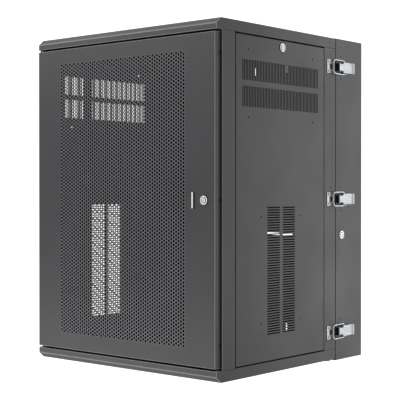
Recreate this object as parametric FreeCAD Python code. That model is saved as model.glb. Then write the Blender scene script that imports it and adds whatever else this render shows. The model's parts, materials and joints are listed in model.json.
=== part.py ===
import FreeCAD, Part
import math
import os

# Wall mount network cabinet, 18 rack units, in three sections.
# Millimetres. X to the right, the door faces -Y, Z up. The wall plane is y = 0
# and z = 0 is at mid height. "d" below is the depth behind the door's front.

os.makedirs("parts", exist_ok=True)
V = FreeCAD.Vector

# ---- driving sizes -------------------------------------------------------
width = 635.0            # 25 in
depth = 635.0            # 25 in
height = 870.0           # swinging body, over both caps
wall_depth = 130.0       # depth of the fixed wall section
split_gap = 1.5          # seam between the body and the wall section
sheet = 1.5              # body sheet
wall_sheet = 2.0         # wall section sheet
panel_sheet = 1.2        # side panel sheet
cap_drop = 28.0          # height of the cap's side flange
nose_drop = 29.0         # height of the cap's nose over the door
nose_set = 16.0          # how far the lid's front edge sits behind the nose
nose_slope = 14.0        # height of the nose's sloping face
body_front = 22.0        # front face of the posts behind the door's front
post_front_depth = 48.0
post_rear_depth = 53.0
post_wall = 25.5         # width of the post's front wall
panel_gap = 2.0
panel_gap_top = 3.0
panel_flange = 12.0
door_top_gap = 4.7       # cap nose to door
door_side_gap = 5.0      # right edge of the door to the side of the body
door_thick = 17.5
door_sheet = 1.5
door_round = 2.5
rack_units = 18
unit = 44.45
rack_holes_wide = 465.1
rack_inner = 450.8       # clear width between the rails
rail_front_at = 105.0
rail_rear_at = 435.0
rail_sheet = 2.0
rail_web = 32.0
rail_hole_r = 2.8
wall_bolt_x = 406.4      # 16 in stud spacing
wall_bolt_z = 764.0
wall_bolt_r = 5.5
latch_heights = (358.0, 0.0, -360.0)
bumper_heights = (351.0, 0.0, -347.0)
hinge_heights = (330.0, 0.0, -330.0)
lock_face_r = 11.0
lock_barrel_r = 9.5
plug_r = 6.0
bail_wire_r = 1.5
door_pin_r = 3.0

# ---- clearances ----------------------------------------------------------
running = 0.05           # radial, turning fits
seat = 0.1               # radial, fixed fits
clear = 1.0

# ---- derived -------------------------------------------------------------
hw = width / 2
hh = height / 2
rear = depth - wall_depth - split_gap      # d of the body's rear face
split = depth - wall_depth                 # d of the wall section's front
flange_z = hh - cap_drop                   # edge of the caps' side flanges
door_half = hh - nose_drop - door_top_gap
post_front_end = body_front + post_front_depth
post_rear_start = rear - post_rear_depth
panel_d0 = post_front_end + panel_gap
panel_d1 = post_rear_start - panel_gap
panel_half = flange_z - 2.5
return_x = hw - 14.2                       # panel stop behind the skin
brace_x0 = hw - 66.0                       # inner wall of the side braces
brace_z = flange_z - sheet                 # inner face of the brace plate


def box(x0, x1, d0, d1, z0, z1):
    return Part.makeBox(x1 - x0, d1 - d0, z1 - z0, V(x0, d0 - depth, z0))


def rod(x, d, z, r, length, axis):
    return Part.makeCylinder(r, length, V(x, d - depth, z), axis)


def join(shapes):
    return shapes[0].fuse(shapes[1:]).removeSplitter()


def cut(shape, tools):
    return shape.cut(tools)


def flip_x(shape):
    return shape.mirror(V(0, 0, 0), V(1, 0, 0))


def flip_z(shape):
    return shape.mirror(V(0, 0, 0), V(0, 0, 1))


def group(shapes):
    solids = []
    for s in shapes:
        solids.extend(s.Solids)
    return solids[0] if len(solids) == 1 else Part.makeCompound(solids)


def save(name, shape):
    group([shape] if not isinstance(shape, list) else shape).exportStep(
        "parts/" + name + ".step")


def side_profile(points, x0, length):
    """Extrude a (d, z) outline along X."""
    ring = [V(x0, d - depth, z) for d, z in points]
    face = Part.Face(Part.makePolygon(ring + [ring[0]]))
    return face.extrude(V(length, 0, 0))


X, Y, Z = V(1, 0, 0), V(0, 1, 0), V(0, 0, 1)

# ---- locks ---------------------------------------------------------------
cam_sheet = 2.0


def lock_housing(barrel, skin):
    """Flanged barrel with its hex nut, outward along +Z, skin face at z 0."""
    flange = Part.makeCylinder(lock_face_r, 2.0, V(0, 0, 0))
    flange = flange.makeChamfer(0.6, [flange.Edges[0]])
    body = join([flange, Part.makeCylinder(lock_barrel_r, barrel, V(0, 0, -barrel))])
    bore = Part.makeCylinder(plug_r + running, barrel + 4, V(0, 0, -barrel - 1))
    body = body.cut(bore)
    corners = [V(13.5 * math.cos(math.radians(60 * k)),
                 13.5 * math.sin(math.radians(60 * k)), -skin - 3.5) for k in range(6)]
    nut = Part.Face(Part.makePolygon(corners + [corners[0]])).extrude(V(0, 0, 3.5))
    nut = nut.cut(Part.makeCylinder(lock_barrel_r + seat, 6, V(0, 0, -skin - 5)))
    return [body, nut]


def lock_plug(cam_at, slot_turn):
    """Turning plug with its key slot and the tail that carries the cam."""
    plug = Part.makeCylinder(plug_r, cam_at - 0.5 + 2.3, V(0, 0, -cam_at + 0.5))
    slot = Part.makeBox(1.3, 7.0, 6.0, V(-0.65, -3.5, -3.5))
    slot.rotate(V(0, 0, 0), Z, slot_turn)
    tail = Part.makeBox(7.0, 7.0, cam_sheet + 1.5, V(-3.5, -3.5, -cam_at - cam_sheet - 1.0))
    return join([plug.cut(slot), tail])


def lock_cam(cam_at, reach):
    """Flat cam on the plug's square tail, pointing along +Y of the lock."""
    root = Part.makeCylinder(8.5, cam_sheet, V(0, 0, -cam_at - cam_sheet))
    arm = Part.makeBox(14.0, reach, cam_sheet, V(-7.0, 0, -cam_at - cam_sheet))
    hole = Part.makeBox(7.2, 7.2, 8.0, V(-3.6, -3.6, -cam_at - cam_sheet - 3))
    return join([root, arm]).cut(hole)


def put_lock(shape, x, d, z, facing, turn):
    """Stand a lock's +Z along the outward direction of a face.

    turn spins it about its own axis first, in degrees."""
    s = shape.copy()
    s.rotate(V(0, 0, 0), Z, turn)
    if facing == "front":
        s.rotate(V(0, 0, 0), X, 90)
    elif facing == "right":
        s.rotate(V(0, 0, 0), Y, 90)
    else:
        s.rotate(V(0, 0, 0), Y, -90)
    s.translate(V(x, d - depth, z))
    return s


door_lock_x = hw - door_side_gap - 34.0
side_lock_d = 261.0
side_lock_z = hh - 48.8
wall_lock_d = 533.0
wall_lock_z = hh - 532.7
door_cam_at = 25.0
side_cam_at = 16.5
wall_cam_at = 18.0

# ---- caps ----------------------------------------------------------------
door_pin_x = hw - 7.0
door_pin_d = 10.0
bushing_r = 5.0
cover_x, cover_d0, cover_d1 = 160.0, 330.0, 450.0


def top_cap():
    low = hh - nose_drop
    skin = side_profile([
        (rear, hh), (nose_set, hh), (0, hh - nose_slope), (0, low),
        (body_front - 0.3, low), (body_front - 0.3, low + sheet), (sheet, low + sheet),
        (sheet, hh - nose_slope - 0.6), (nose_set + 0.6, hh - sheet), (rear, hh - sheet)],
        -hw, width)
    ends = []
    for x0 in (-hw, hw - sheet):
        ends.append(side_profile([
            (rear, hh), (nose_set, hh), (0, hh - nose_slope), (0, low),
            (body_front - 0.3, low), (body_front - 0.3, flange_z), (rear, flange_z)],
            x0, sheet))
    back = box(-hw + 22, hw - 22, rear - sheet, rear, flange_z, hh)
    holes = [rod(s * door_pin_x, door_pin_d, low - 1, bushing_r + seat, 4, Z)
             for s in (-1, 1)]
    holes.append(box(-cover_x + 12, cover_x - 12, cover_d0 + 12, cover_d1 - 12,
                     hh - 3, hh + 1))
    return cut(join([skin] + ends + [back]), holes)


def cable_cover():
    plate = box(-cover_x, cover_x, cover_d0, cover_d1, hh - sheet - 1.5, hh - sheet)
    return plate.cut(box(-130, 130, 372, 408, hh - 6, hh + 1))


def cable_brush():
    z0, z1 = hh - sheet - 3.0, hh - sheet - 1.5
    strips = []
    for d0, d1 in ((366.0, 383.0), (397.0, 414.0)):
        strips.append(box(-134, 134, d0, d1, z0, z1))
    return strips


def door_spacer():
    """Small block under the top cap at the hinge side, over the door's edge."""
    low = hh - nose_drop
    block = box(-hw + 1.5, -hw + 12.5, door_pin_d - 4.5, body_front - 0.5,
                door_half + 0.7, low)
    room = rod(-door_pin_x, door_pin_d, door_half, bushing_r + 0.3, 14, Z)
    return block.cut(room)


def bushings():
    """Flanged bushings for the door's pins, put in from inside the caps."""
    low = hh - nose_drop
    bore_z = door_half + 0.4
    out = []
    for s in (-1, 1):
        wall = box(hw - sheet - 0.05, hw + 2, 0, body_front, low, low + 8)
        flange = rod(s * door_pin_x, door_pin_d, low + sheet, 6.4, 1.4, Z)
        flange = flange.cut([wall, flip_x(wall)])
        body = join([rod(s * door_pin_x, door_pin_d, low, bushing_r, 4.0, Z), flange])
        for half in (body, flip_z(body)):
            bore = rod(s * door_pin_x, door_pin_d, bore_z, door_pin_r + running, 14, Z)
            out.append(half.cut([bore, flip_z(bore)]))
    return out


# ---- posts, braces and rails --------------------------------------------
lip_z = flange_z - 9.5       # the post's panel stop ends below the brace's lip
keep_hole_d = 480.0
spare_hole_d = 529.0
spare_hole_z = 31.0
cam_window = 26.0            # half height of the door cam's window


def front_post():
    """Folded post. Its front wall, its side and its inner flange are separate
    solids that meet, so that the collision model keeps the channel between
    them open for the door's cam."""
    x0 = hw - post_wall
    inside = hw - sheet - 0.1
    end = flange_z - 0.3
    front = join([
        box(x0, inside, body_front, body_front + sheet, -hh + sheet, hh - sheet),
        box(inside - 0.5, hw, body_front, body_front + sheet, -end, end)])
    side = join([
        box(hw - sheet, hw, body_front + sheet, post_front_end, -end, end),
        box(return_x, hw - sheet, post_front_end - sheet, post_front_end, -brace_z, brace_z),
        box(return_x, return_x + sheet, post_front_end, post_front_end + 14, -lip_z, lip_z)])
    flange = box(x0, x0 + sheet, body_front + sheet, body_front + 18, cam_window, hh - 60)
    return [front, side, flange, flip_z(flange)]


def rear_post(latch_side):
    x0 = hw - 21.5
    inside = hw - sheet - 0.1
    end = flange_z - 0.3
    parts = [
        box(x0, inside, rear - sheet, rear, -hh + sheet, hh - sheet),
        box(inside - 0.5, hw, rear - sheet, rear, -end, end),
        box(hw - sheet, hw, post_rear_start, rear, -end, end),
        box(return_x, hw - sheet, post_rear_start, post_rear_start + sheet, -brace_z, brace_z),
        box(return_x, return_x + sheet, post_rear_start - 14, post_rear_start, -lip_z, lip_z),
        box(x0, x0 + sheet, rear - 18, rear - sheet, -hh + 60, hh - 60)]
    holes = []
    if latch_side:
        for z in latch_heights:
            for s in (-1, 1):
                holes.append(rod(hw - 3, keep_hole_d, z + s * spare_hole_z, 1.8, 5, X))
                holes.append(rod(hw - 3, keeper_d0 + 8, z + s * 13.0, 1.6 + seat, 5, X))
    else:
        for z in hinge_heights:
            for s in (-1, 1):
                holes.append(rod(hw - 3, hinge_d - 24, z + s * 15, 2.0 + seat, 5, X))
    return join(parts).cut(holes)


def side_brace():
    """Top right brace: carries the rails and stops the top of the panel.

    Wall, plate and the pieces of its turned down lip are separate solids that
    meet, so that the collision model keeps the space behind the lip open."""
    d0, d1 = post_front_end, post_rear_start
    ears = (panel_d0 + 50, panel_d1 - 50)
    wall = box(brace_x0, brace_x0 + sheet, d0, d1, brace_z - 28, flange_z)
    plate = join([box(brace_x0 + sheet, return_x + sheet, d0, d1, brace_z, flange_z)] +
                 [box(return_x, hw - 4.0, d - 30, d + 30, brace_z, flange_z) for d in ears])
    bolt_holes = [box(brace_x0 - 1, brace_x0 + 2.5, d - 18, d + 18,
                      brace_z - 14.7, brace_z - 8.3)
                  for d in (rail_front_at + 20, rail_rear_at - 20)]
    slots = [box(return_x - 0.5, return_x + 8.3, d - 22, d + 22, brace_z - 8, flange_z + 1)
             for d in ears]
    lips = [box(return_x, return_x + sheet, a, b, brace_z - 7.5, brace_z)
            for a, b in ((d0, ears[0] - 22), (ears[0] + 22, ears[1] - 22),
                         (ears[1] + 22, d1))]
    return [wall.cut(bolt_holes), plate.cut(slots)] + lips


def rail(front):
    half = brace_z - 0.7
    x1 = brace_x0
    if front:
        d0, web0 = rail_front_at, rail_front_at
    else:
        d0, web0 = rail_rear_at - rail_sheet, rail_rear_at - rail_web
    shape = join([box(rack_inner / 2, x1, d0, d0 + rail_sheet, -half, half),
                  box(x1 - rail_sheet, x1, web0, web0 + rail_web, -half, half)])
    holes = []
    bottom = -rack_units * unit / 2
    for u in range(rack_units):
        for step in (6.35, 22.225, 38.1):
            holes.append(rod(rack_holes_wide / 2, d0 - 1, bottom + u * unit + step,
                             rail_hole_r, 4, Y))
    bolt_d = rail_front_at + 20 if front else rail_rear_at - 20
    for s in (-1, 1):
        holes.append(rod(x1 - 4, bolt_d, s * (brace_z - 11.5), 3.0 + seat, 6, X))
    return shape.cut(holes)


def rail_bolts():
    out = []
    for side in (-1, 1):
        for d in (rail_front_at + 20, rail_rear_at - 20):
            for s in (-1, 1):
                z = s * (brace_z - 11.5)
                shank = rod(brace_x0 - rail_sheet, d, z, 3.0, 9.5, X)
                head = rod(brace_x0 - rail_sheet - 3.4, d, z, 5.4, 3.4, X)
                nut = rod(brace_x0 + sheet, d, z, 5.6, 4.5, X)
                b = join([shank, head, nut])
                out.append(b if side > 0 else flip_x(b))
    return out


# ---- side panels ---------------------------------------------------------
slot_w = 3.2
slot_pitch = 6.35
slot_count = 51
upper_rows = ((91.0, 141.9), (156.2, 206.6))
lower_columns = ((198.8, 250.9), (263.3, 315.5))
upper_d0 = 98.0
lower_top = 453.0
upper_screws = ((121.5, 66.2), (394.2, 66.2), (121.5, 232.6), (394.2, 232.6))
lower_screws = ((173.7, 476.5), (341.0, 476.5), (173.7, 744.9), (341.0, 744.9))


def side_panel():
    t = panel_sheet
    half = panel_half
    outer = box(hw - panel_flange, hw, panel_d0, panel_d1, -half, half - 0.5)
    inner = box(hw - panel_flange - 1, hw - t, panel_d0 + t, panel_d1 - t,
                -half + t, half - 0.5 - t)
    shape = outer.cut(inner)
    tools = []
    for top, bottom in upper_rows:
        for k in range(slot_count):
            d = upper_d0 + k * slot_pitch
            tools.append(box(hw - 3, hw + 1, d, d + slot_w, hh - bottom, hh - top))
    for d0, d1 in lower_columns:
        for k in range(slot_count):
            z = hh - lower_top - k * slot_pitch
            tools.append(box(hw - 3, hw + 1, d0, d1, z - slot_w, z))
    for d, top in upper_screws + lower_screws:
        tools.append(rod(hw - 3, d, hh - top, 2.2, 5, X))
    tools.append(rod(hw - 3, side_lock_d, side_lock_z, lock_barrel_r + seat, 5, X))
    shape = shape.cut(tools)
    for d in (panel_d0 + 50, panel_d1 - 50):
        tongue = box(hw - 9.0, hw - 7.5, d - 18, d + 18, -half - 8.0, -half + 8.0)
        shape = shape.fuse(tongue)
    return shape.removeSplitter()


# ---- door ----------------------------------------------------------------
hole_r = 3.15
hole_columns = 56
holes_per_column = 79
hole_step_x = 7.93
hole_step_z = 9.08
hole_left = 94.0
hole_top = 76.6
strip_columns = 4            # the hole field is built as abutting strips
badge_x = hw - door_side_gap - 69.0


def door_outline(x0, x1, d0, d1, half, r):
    s = box(x0, x1, d0, d1, -half, half)
    y = d0 - depth
    front = [e for e in s.Edges if abs(e.BoundBox.YMax - y) < 1e-6
             and abs(e.BoundBox.YMin - y) < 1e-6]
    return s.makeFillet(r, front)


def door_skin():
    x0, x1 = -hw, hw - door_side_gap
    t = door_sheet
    outer = door_outline(x0, x1, 0, door_thick, door_half, door_round)
    inner = door_outline(x0 + t, x1 - t, t, door_thick - t, door_half - t, door_round - t)
    mouth = box(x0 + 12, x1 - 12, door_thick - 5, door_thick + 1, -door_half + 12,
                door_half - 12)
    shape = outer.cut([inner, mouth])
    tools = [rod(door_lock_x, -1, 0, lock_barrel_r + seat, 5, Y)]
    for s in (-1, 1):
        z0 = door_half - 3 if s > 0 else -door_half - 1
        tools.append(rod(-door_pin_x, door_pin_d, z0, door_pin_r + seat, 4, Z))
    field_x0 = x0 + hole_left - hole_step_x / 2
    field_x1 = field_x0 + hole_columns * hole_step_x
    field_z1 = hh - hole_top + hole_step_z / 2
    field_z0 = field_z1 - (holes_per_column + 0.5) * hole_step_z
    tools.append(box(field_x0, field_x1, -1, t + 1, field_z0, field_z1))
    strips = []
    for k in range(0, hole_columns, strip_columns):
        strips.append(hole_strip(field_x0 + k * hole_step_x, field_z0, field_z1))
    return [shape.cut(tools)] + strips


def hole_strip(x0, z0, z1):
    """A few columns of round holes; every second column sits half a step lower."""
    x1 = x0 + strip_columns * hole_step_x
    y = -depth
    ring = [V(x0, y, z0), V(x1, y, z0), V(x1, y, z1), V(x0, y, z1)]
    wires = [Part.makePolygon(ring + [ring[0]])]
    for c in range(strip_columns):
        x = x0 + (c + 0.5) * hole_step_x
        for k in range(holes_per_column):
            z = z1 - (k + 0.5 + 0.5 * (c % 2)) * hole_step_z
            circle = Part.Circle(V(x, y, z), V(0, 1, 0), hole_r)
            wires.append(Part.Wire([Part.Edge(circle)]))
    return Part.Face(wires).extrude(V(0, door_sheet, 0))


def door_stiffener(x):
    t = 1.2
    half = door_half - 14
    return join([box(x - 6, x + 6, 9.0, 9.0 + t, -half, half),
                 box(x - 6, x - 6 + t, door_sheet, 9.0, -half, half),
                 box(x + 6 - t, x + 6, door_sheet, 9.0, -half, half),
                 box(x - 13, x - 6, door_sheet, door_sheet + t, -half, half),
                 box(x + 6, x + 13, door_sheet, door_sheet + t, -half, half)])


def door_pins():
    low = hh - nose_drop
    out = []
    for s in (-1, 1):
        pin = rod(-door_pin_x, door_pin_d, door_half - 22, door_pin_r, low + 4 -
                  (door_half - 22), Z)
        z0, z1 = door_half - 18, door_half - 16
        plate = join([box(-hw + door_sheet, -hw + 16, door_round + 0.2, 15.8, z0, z1),
                      box(-hw + door_round + 0.2, -hw + 16, door_sheet, 4, z0, z1)])
        plate = plate.cut(rod(-door_pin_x, door_pin_d, door_half - 20,
                                            door_pin_r + seat, 8, Z))
        both = [pin, plate]
        out += both if s > 0 else [flip_z(p) for p in both]
    return out


def door_gasket():
    x0, x1 = -hw + 3.0, hw - door_side_gap - 3.0
    half = door_half - 3.0
    ring = box(x0, x1, door_thick, door_thick + 3.0, -half, half)
    return ring.cut(box(x0 + 8, x1 - 8, door_thick - 1, door_thick + 4, -half + 8, half - 8))


def bumpers():
    out = []
    for z in bumper_heights:
        out.append(rod(hw - 3.9, door_thick + 0.6, z, 3.4, body_front - door_thick - 0.6, Y))
    return out


def door_strike():
    """Backing plate and two side plates that frame the cam's window."""
    x0 = hw - post_wall
    plate = box(x0 + sheet, hw - 4, body_front + sheet, body_front + sheet + 0.8, -36, 36)
    side = box(x0 - 1.2, x0, body_front + 2, body_front + 17, cam_window, 40)
    return [plate, side, flip_z(side)]


# ---- body hinges at the left --------------------------------------------
hinge_out = 6.0
hinge_barrel_r = 5.0
hinge_pin_r = 3.0
hinge_half = 25.0
hinge_knuckle = 8.0
hinge_x = -hw - hinge_out
hinge_d = split - split_gap / 2


def hinge_leaf(z, wall_side):
    """Outer knuckles belong to the wall leaf, the middle one to the body leaf."""
    inner = hinge_knuckle
    if wall_side:
        d0, d1 = hinge_d + 0.75, hinge_d + 36
        spans = ((inner + 0.3, hinge_half), (-hinge_half, -inner - 0.3))
        gap = box(-hw - 3, -hw, d0 - 1, hinge_d + 6, z - inner - 0.4, z + inner + 0.4)
        bore = hinge_pin_r + seat
        gaps = [gap]
    else:
        d0, d1 = hinge_d - 36, hinge_d - 0.75
        spans = ((-inner, inner),)
        gaps = [box(-hw - 3, -hw, hinge_d - 6, d1 + 1, z + inner, z + hinge_half + 1),
                box(-hw - 3, -hw, hinge_d - 6, d1 + 1, z - hinge_half - 1, z - inner)]
        bore = hinge_pin_r + running
    leaf = box(-hw - 2.0, -hw, d0, d1, z - hinge_half, z + hinge_half).cut(gaps)
    knuckles = [rod(hinge_x, hinge_d, z + a, hinge_barrel_r, b - a, Z) for a, b in spans]
    webs = []
    for a, b in spans:
        if wall_side:
            webs.append(box(hinge_x + 3.6, -hw, hinge_d + 0.75, hinge_d + 5, z + a, z + b))
        else:
            webs.append(box(hinge_x + 3.6, -hw, hinge_d - 5, hinge_d - 0.75, z + a, z + b))
    shape = join([leaf] + knuckles + webs)
    tools = [rod(hinge_x, hinge_d, z - hinge_half - 1, bore, 2 * hinge_half + 2, Z)]
    for s in (-1, 1):
        d = hinge_d + 24 if wall_side else hinge_d - 24
        tools.append(rod(-hw - 3, d, z + s * 15, 2.0 + seat, 5, X))
    return shape.cut(tools)


def hinge_pins():
    return [join([rod(hinge_x, hinge_d, z - hinge_half, hinge_pin_r, 2 * hinge_half, Z),
                  rod(hinge_x, hinge_d, z + hinge_half, 4.2, 2.0, Z)])
            for z in hinge_heights]


def hinge_rivets(wall_side):
    out = []
    d = hinge_d + 24 if wall_side else hinge_d - 24
    skin = wall_sheet if wall_side else sheet
    for z in hinge_heights:
        for s in (-1, 1):
            out.append(join([rod(-hw - 3.4, d, z + s * 15, 3.6, 1.4, X),
                             rod(-hw - 2.0, d, z + s * 15, 2.0, 2.0 + skin + 0.8, X)]))
    return out


# ---- draw latches --------------------------------------------------------
# depths behind the door's front (d) and heights over the side face (h)
keeper_d0 = 462.0
keeper_d1 = 480.0
keeper_half = 18.2
hook_d = 488.0
hook_top = 5.5               # height of the hook over the post
bar_d = 483.6
bar_rest_gap = 0.4           # the wire bail stands just clear of the hook
pivot_d, pivot_h = 512.6, 6.4
pivot_r = 1.8
lug_r = 3.6
eye_d, eye_h = 539.5, 4.4
base_d0, base_d1 = 506.0, 566.0
lever_wide_d = 528.4
lever_end = 579.0
lever_h0, lever_h1 = 8.5, 10.0
neck_half, wide_half = 9.5, 14.4
base_rivet_d = (530.0, 558.0)


def keeper(z):
    t = 1.5
    parts = [
        box(hw, hw + t, keeper_d0, keeper_d1, z - keeper_half, z + keeper_half),
        box(hw, hw + t, keeper_d1 - 1, hook_d, z - 8, z + 8),
        box(hw, hw + hook_top, hook_d - t, hook_d, z - 8, z + 8),
        box(hw + hook_top - t, hw + hook_top, bar_d - 2.0, hook_d, z - 8, z + 8)]
    holes = [rod(hw - 1, keeper_d0 + 8, z + s * 13.0, 1.6 + seat, 5, X) for s in (-1, 1)]
    return join(parts).cut(holes)


def keeper_rivets(z):
    return [join([rod(hw + 1.5, keeper_d0 + 8, z + s * 13.0, 3.0, 1.3, X),
                  rod(hw - sheet - 0.8, keeper_d0 + 8, z + s * 13.0, 1.6, sheet + 2.5, X)])
            for s in (-1, 1)]


def latch_base(z):
    """Base plate with the two pivot lugs and the small stop at its lower edge."""
    t = 1.5
    lugs = [(10.2, 12.0), (-12.0, -10.2)]
    parts = [box(hw, hw + t, 523.5, base_d1, z - 14, z + 14)]
    for a, b in lugs:
        parts.append(box(hw, hw + t, base_d0, 524, z + a, z + b))
        parts.append(box(hw, hw + pivot_h, pivot_d - lug_r, pivot_d + 6, z + a, z + b))
        parts.append(rod(hw + pivot_h, pivot_d, z + a, lug_r, b - a, Z))
    parts.append(box(hw, hw + t, 547.2, 555.2, z - 17.4, z - 13.5))
    parts.append(box(hw, hw + 3.0, 547.2, 555.2, z - 17.4, z - 15.0))
    tools = [rod(hw + pivot_h, pivot_d, z - 14, pivot_r + seat, 28, Z)]
    for d in base_rivet_d:
        tools.append(rod(hw - 1, d, z, 1.6 + seat, 5, X))
    return join(parts).cut(tools)


def base_rivets(z):
    return [join([rod(hw + 1.5, d, z, 3.0, 1.3, X),
                  rod(hw - wall_sheet - 0.8, d, z, 1.6, wall_sheet + 2.5, X)])
            for d in base_rivet_d]


def latch_pad(z):
    """Dark pad between the lugs with its raised front lip."""
    return join([box(hw, hw + 1.4, base_d0, 523.0, z - 9.7, z + 9.7),
                 box(hw, hw + 4.2, base_d0, base_d0 + 1.5, z - 9.7, z + 9.7)])


def latch_pin(z):
    return join([rod(hw + pivot_h, pivot_d, z - 12.6, pivot_r, 25.2, Z),
                 rod(hw + pivot_h, pivot_d, z + 12.1, 2.8, 1.2, Z),
                 rod(hw + pivot_h, pivot_d, z - 13.3, 2.8, 1.2, Z)])


def latch_lever(z):
    h0, h1 = hw + lever_h0, hw + lever_h1
    neck = pivot_d - 2.8
    profile = [(lever_wide_d, lever_h0), (565.5, lever_h0), (572.0, 11.0),
               (lever_end, 11.0), (lever_end, 12.5), (571.0, 12.5),
               (564.8, lever_h1), (lever_wide_d, lever_h1)]
    corners = [V(hw + h, d - depth, z - wide_half) for d, h in profile]
    top = Part.Face(Part.makePolygon(corners + [corners[0]])).extrude(V(0, 0, 2 * wide_half))
    parts = [top, box(h0, h1, neck, lever_wide_d + 2, z - neck_half, z + neck_half)]
    for s in (-1, 1):
        a, b = sorted((s * (neck_half - 1.5), s * neck_half))
        parts.append(box(hw + 3.2, h1, neck, lever_wide_d + 1, z + a, z + b))
        a, b = sorted((s * (wide_half - 1.5), s * wide_half))
        parts.append(box(hw + 2.5, h1, lever_wide_d, 565.0, z + a, z + b))
        a, b = sorted((s * (neck_half - 1.5), s * wide_half))
        parts.append(box(hw + 3.2, h1, lever_wide_d, lever_wide_d + 1.5, z + a, z + b))
    shape = join(parts)
    pivot = rod(hw + pivot_h, pivot_d, z - 12, pivot_r + running, 24, Z)
    eyes = rod(hw + eye_h, eye_d, z - 15, bail_wire_r + running, 30, Z)
    return shape.cut([pivot, eyes])


def latch_bail(z):
    """Bent wire, drawn flat and then lifted until its bar clears the hook."""
    arm, eye = 18.7, 10.4
    flat = [(eye_d, eye, 0), (eye_d, arm, 3.2), (bar_d, arm, 11.0),
            (bar_d, -arm, 11.0), (eye_d, -arm, 3.2), (eye_d, -eye, 0)]
    pts = [V(0, d, w) for d, w, r in flat]
    path = []
    last = pts[0]
    for i in range(1, len(pts) - 1):
        fillet = flat[i][2]
        a = (pts[i - 1] - pts[i]).normalize()
        b = (pts[i + 1] - pts[i]).normalize()
        half_angle = math.acos(max(-1, min(1, a.dot(b)))) / 2
        reach = fillet / math.tan(half_angle)
        p, q = pts[i] + a * reach, pts[i] + b * reach
        middle = (a + b).normalize()
        centre = pts[i] + middle * (fillet / math.sin(half_angle))
        path.append(Part.makeLine(last, p))
        path.append(Part.Arc(p, centre - middle * fillet, q).toShape())
        last = q
    path.append(Part.makeLine(last, pts[-1]))
    wire = Part.Wire(path)
    ring = Part.Wire([Part.makeCircle(bail_wire_r, pts[0], Z)])
    shape = wire.makePipeShell([ring], True, False, 0)
    lift = math.degrees(math.asin((hook_top + bar_rest_gap + bail_wire_r - eye_h)
                                  / (eye_d - bar_d)))
    shape.translate(V(0, -eye_d, 0))
    shape.rotate(V(0, 0, 0), Z, lift)
    shape.translate(V(hw + eye_h, eye_d - depth, z))
    return shape


# ---- wall section --------------------------------------------------------
wall_top = hh + 1.0
wall_bottom = -hh - 4.0
notch_z0, notch_z1 = wall_lock_z + 12, wall_lock_z + 44


def wall_pan():
    t = wall_sheet
    outer = box(-hw, hw, split, depth, wall_bottom, wall_top)
    inner = box(-hw + t, hw - t, split + t, depth - t, wall_bottom + t, wall_top - t)
    mouth = box(-hw + 22, hw - 22, split - 1, split + t + 1, wall_bottom + 22, wall_top - 22)
    tools = [inner, mouth]
    for sx in (-1, 1):
        for sz in (-1, 1):
            x, z = sx * wall_bolt_x / 2, sz * wall_bolt_z / 2
            tools.append(rod(x, depth - 4, z, wall_bolt_r, 6, Y))
            tools.append(box(sx * 59.0 - 3.0, sx * 59.0 + 3.0, depth - 4, depth + 1,
                             z - 11, z + 11))
    for sz in (-1, 1):
        tools.append(box(-130, 130, depth - 4, depth + 1, sz * 106 - 3.5, sz * 106 + 3.5))
    tools.append(box(-150, 150, 545, 605, wall_top - 4, wall_top + 1))
    tools.append(box(-150, 150, 545, 605, wall_bottom - 1, wall_bottom + 4))
    tools.append(rod(hw - 4, wall_lock_d, wall_lock_z, lock_barrel_r + seat, 6, X))
    tools.append(box(hw - 24, hw - 12, split - 1, split + 3, notch_z0, notch_z1))
    tools.append(box(tongue_x0 - 1, tongue_x1 + 1, split - 1, split + 3,
                     wall_bottom + t, -hh + 0.4))
    for z in latch_heights:
        for s in (-1, 1):
            tools.append(rod(hw - 4, spare_hole_d, z + s * spare_hole_z, 1.8, 6, X))
        for d in base_rivet_d:
            tools.append(rod(hw - 4, d, z, 1.6 + seat, 6, X))
    for z in hinge_heights:
        for s in (-1, 1):
            tools.append(rod(-hw - 1, hinge_d + 24, z + s * 15, 2.0 + seat, 5, X))
    return outer.cut(tools)


tongue_x0, tongue_x1 = 262.0, 302.0


def support_tongue():
    low = wall_bottom + wall_sheet
    z1 = -hh - 0.5
    inside = box(tongue_x0, tongue_x1, split - 1, split + 60, low, z1)
    low_edge = wall_bottom - 2.0
    ramp = side_profile([(474, z1), (504.6, z1), (504.6, low_edge),
                         (484, low_edge), (474, z1 - 1.6)],
                        tongue_x0, tongue_x1 - tongue_x0)
    return join([inside, ramp])


def wall_channel(sx):
    x = sx * wall_bolt_x / 2
    d0, d1 = depth - 18, depth - wall_sheet
    half = 415.0
    shape = join([box(x - 20, x + 20, d0, d0 + 2, -half, half),
                  box(x - 20, x - 18, d0, d1, -half, half),
                  box(x + 18, x + 20, d0, d1, -half, half),
                  box(x - 34, x - 18, d1 - 2, d1, -half, half),
                  box(x + 18, x + 34, d1 - 2, d1, -half, half)])
    holes = [rod(x, d0 - 1, s * wall_bolt_z / 2, wall_bolt_r, 4, Y) for s in (-1, 1)]
    return shape.cut(holes)


def entry_plate(top):
    z1 = wall_top - wall_sheet if top else wall_bottom + wall_sheet + 1.5
    plate = box(-162, 162, 536, 614, z1 - 1.5, z1)
    if top:
        plate = plate.cut(box(-130, 130, 560, 592, z1 - 4, z1 + 1))
    return plate


def entry_brush():
    z1 = wall_top - wall_sheet - 1.5
    return [box(-134, 134, 554, 570, z1 - 1.5, z1), box(-134, 134, 582, 598, z1 - 1.5, z1)]


def seam_gasket():
    t = 1.0
    ring = box(-hw + 5, hw - 3, split - t, split, wall_bottom + 7, wall_top - 4)
    ring = ring.cut(box(-hw + 14, hw - 12, split - 2, split + 1, wall_bottom + 16,
                        wall_top - 13))
    return ring


def ground_stud():
    x, z = 250.0, -300.0
    low = depth - wall_sheet
    return [rod(x, low - 18, z, 3.0, 18, Y),
            rod(x, low - 6, z, 5.6, 6, Y).cut(rod(x, low - 7, z, 3.0 + seat, 8, Y))]


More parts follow.
